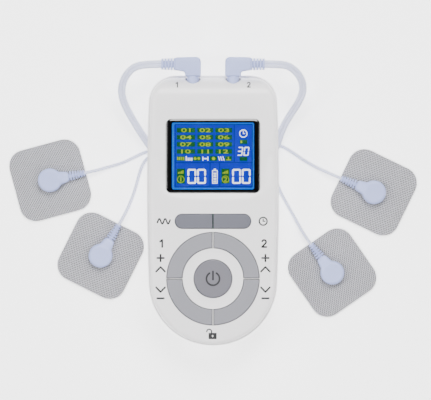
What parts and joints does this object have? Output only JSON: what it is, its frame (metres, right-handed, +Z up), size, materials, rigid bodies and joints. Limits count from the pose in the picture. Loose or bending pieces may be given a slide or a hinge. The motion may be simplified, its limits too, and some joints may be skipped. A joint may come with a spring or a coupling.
{
  "type": "tens unit",
  "caption": "Handheld two-channel nerve stimulator with a blue display, ringed keys, belt clip, twin-cord lead sets and square gel electrodes on press studs.",
  "frame": {"origin": "on the table under the middle of the case, which lies on its belt clip", "axes": "+X towards the channel 2 side, +Y towards the jack end, +Z up out of the display"},
  "size_m": [0.2236, 0.1557, 0.0335],
  "materials": {
    "cell": "steel can with a plain grey sleeve",
    "back_shell": "moulded ABS, pale grey, satin",
    "contact": "nickel-plated spring steel",
    "chips": "black epoxy packages",
    "steel": "zinc-plated steel",
    "ring_key": "light mid-grey ABS",
    "lens": "clear acrylic with a black printed border",
    "front_shell": "moulded ABS, pale grey, satin gloss",
    "dark_plastic": "black nylon",
    "backlight": "clear acrylic light guide",
    "lcd": "blue negative LCD glass",
    "board": "green solder-masked FR4",
    "pill_key": "mid-grey ABS",
    "fabric": "grey woven polyester",
    "film": "carbon-filled film",
    "gel": "clear hydrogel",
    "plug": "blue-grey soft moulded PVC",
    "nickel": "nickel-plated brass",
    "power_button": "mid-grey ABS",
    "transformer": "ferrite core with a taped winding",
    "cord": "pale blue-grey soft PVC"
  },
  "bodies": {
    "case": {"front_shell": "front_shell", "back_shell": "back_shell", "case_screws": "steel", "display_lens": "lens", "lcd_panel": "lcd", "lcd_backlight": "backlight", "main_board": "board", "board_chips": "chips", "pulse_transformers": "transformer", "jack_sockets": "dark_plastic", "key_switches": "dark_plastic", "aaa_cells": "cell", "battery_contacts": "contact", "clip_pin": "steel", "clip_spring": "steel", "trunk_cord_1": "cord", "trunk_cord_2": "cord", "y_split_1": "cord", "y_split_2": "cord", "lead_1a": "cord", "lead_1b": "cord", "lead_2a": "cord", "lead_2b": "cord"},
    "mode_key": {"mode_key": "pill_key"},
    "timer_key": {"timer_key": "pill_key"},
    "channel_1_up_key": {"channel_1_up_key": "ring_key"},
    "channel_1_down_key": {"channel_1_down_key": "ring_key"},
    "channel_2_up_key": {"channel_2_up_key": "ring_key"},
    "channel_2_down_key": {"channel_2_down_key": "ring_key"},
    "power_button": {"power_button": "power_button"},
    "battery_door": {"battery_door": "back_shell"},
    "belt_clip": {"belt_clip": "back_shell"},
    "plug_1": {"plug_1_body": "plug", "plug_1_pin": "nickel"},
    "plug_2": {"plug_2_body": "plug", "plug_2_pin": "nickel"},
    "snap_connector_1a": {"snap_connector_1a": "plug", "snap_socket_1a": "nickel"},
    "pad_1a": {"pad_1a_gel": "gel", "pad_1a_film": "film", "pad_1a_fabric": "fabric", "pad_1a_stud": "nickel"},
    "snap_connector_1b": {"snap_connector_1b": "plug", "snap_socket_1b": "nickel"},
    "pad_1b": {"pad_1b_gel": "gel", "pad_1b_film": "film", "pad_1b_fabric": "fabric", "pad_1b_stud": "nickel"},
    "snap_connector_2a": {"snap_connector_2a": "plug", "snap_socket_2a": "nickel"},
    "pad_2a": {"pad_2a_gel": "gel", "pad_2a_film": "film", "pad_2a_fabric": "fabric", "pad_2a_stud": "nickel"},
    "snap_connector_2b": {"snap_connector_2b": "plug", "snap_socket_2b": "nickel"},
    "pad_2b": {"pad_2b_gel": "gel", "pad_2b_film": "film", "pad_2b_fabric": "fabric", "pad_2b_stud": "nickel"}
  },
  "joints": [
    {"name": "mode_key_press", "type": "slide", "parent": "case", "child": "mode_key", "axis": [0, 0, -1], "range_m": [0, 0.0008], "stiffness_N_per_m": 600},
    {"name": "timer_key_press", "type": "slide", "parent": "case", "child": "timer_key", "axis": [0, 0, -1], "range_m": [0, 0.0008], "stiffness_N_per_m": 600},
    {"name": "channel_1_up_key_press", "type": "slide", "parent": "case", "child": "channel_1_up_key", "axis": [0, 0, -1], "range_m": [0, 0.0008], "stiffness_N_per_m": 600},
    {"name": "channel_1_down_key_press", "type": "slide", "parent": "case", "child": "channel_1_down_key", "axis": [0, 0, -1], "range_m": [0, 0.0008], "stiffness_N_per_m": 600},
    {"name": "channel_2_up_key_press", "type": "slide", "parent": "case", "child": "channel_2_up_key", "axis": [0, 0, -1], "range_m": [0, 0.0008], "stiffness_N_per_m": 600},
    {"name": "channel_2_down_key_press", "type": "slide", "parent": "case", "child": "channel_2_down_key", "axis": [0, 0, -1], "range_m": [0, 0.0008], "stiffness_N_per_m": 600},
    {"name": "power_button_press", "type": "slide", "parent": "case", "child": "power_button", "axis": [0, 0, -1], "range_m": [0, 0.0008], "stiffness_N_per_m": 600},
    {"name": "battery_door_slide", "type": "slide", "parent": "case", "child": "battery_door", "axis": [0, -1, 0], "range_m": [0, 0.045]},
    {"name": "belt_clip_hinge", "type": "hinge", "parent": "case", "child": "belt_clip", "pos_m": [0, 0.005, 0.0052], "axis": [1, 0, 0], "range_deg": [0, 15], "stiffness_Nm_per_rad": 0.5, "springref_deg": -11.46},
    {"name": "plug_1_pull", "type": "slide", "parent": "case", "child": "plug_1", "axis": [0, 1, 0], "range_m": [0, 0.016]},
    {"name": "plug_2_pull", "type": "slide", "parent": "case", "child": "plug_2", "axis": [0, 1, 0], "range_m": [0, 0.016]},
    {"name": "snap_1a_lift", "type": "slide", "parent": "case", "child": "snap_connector_1a", "axis": [0, 0, 1], "range_m": [0, 0.0045]},
    {"name": "snap_1b_lift", "type": "slide", "parent": "case", "child": "snap_connector_1b", "axis": [0, 0, 1], "range_m": [0, 0.0045]},
    {"name": "snap_2a_lift", "type": "slide", "parent": "case", "child": "snap_connector_2a", "axis": [0, 0, 1], "range_m": [0, 0.0045]},
    {"name": "snap_2b_lift", "type": "slide", "parent": "case", "child": "snap_connector_2b", "axis": [0, 0, 1], "range_m": [0, 0.0045]},
    {"name": "pad_1a_swivel", "type": "hinge", "parent": "case", "child": "pad_1a", "pos_m": [-0.0893, 0.0165, 0], "axis": [0, 0, 1], "continuous": true},
    {"name": "pad_1b_swivel", "type": "hinge", "parent": "case", "child": "pad_1b", "pos_m": [-0.0616, -0.0248, 0], "axis": [0, 0, 1], "continuous": true},
    {"name": "pad_2a_swivel", "type": "hinge", "parent": "case", "child": "pad_2a", "pos_m": [0.0881, 0.0099, 0], "axis": [0, 0, 1], "continuous": true},
    {"name": "pad_2b_swivel", "type": "hinge", "parent": "case", "child": "pad_2b", "pos_m": [0.0653, -0.0341, 0], "axis": [0, 0, 1], "continuous": true}
  ]
}
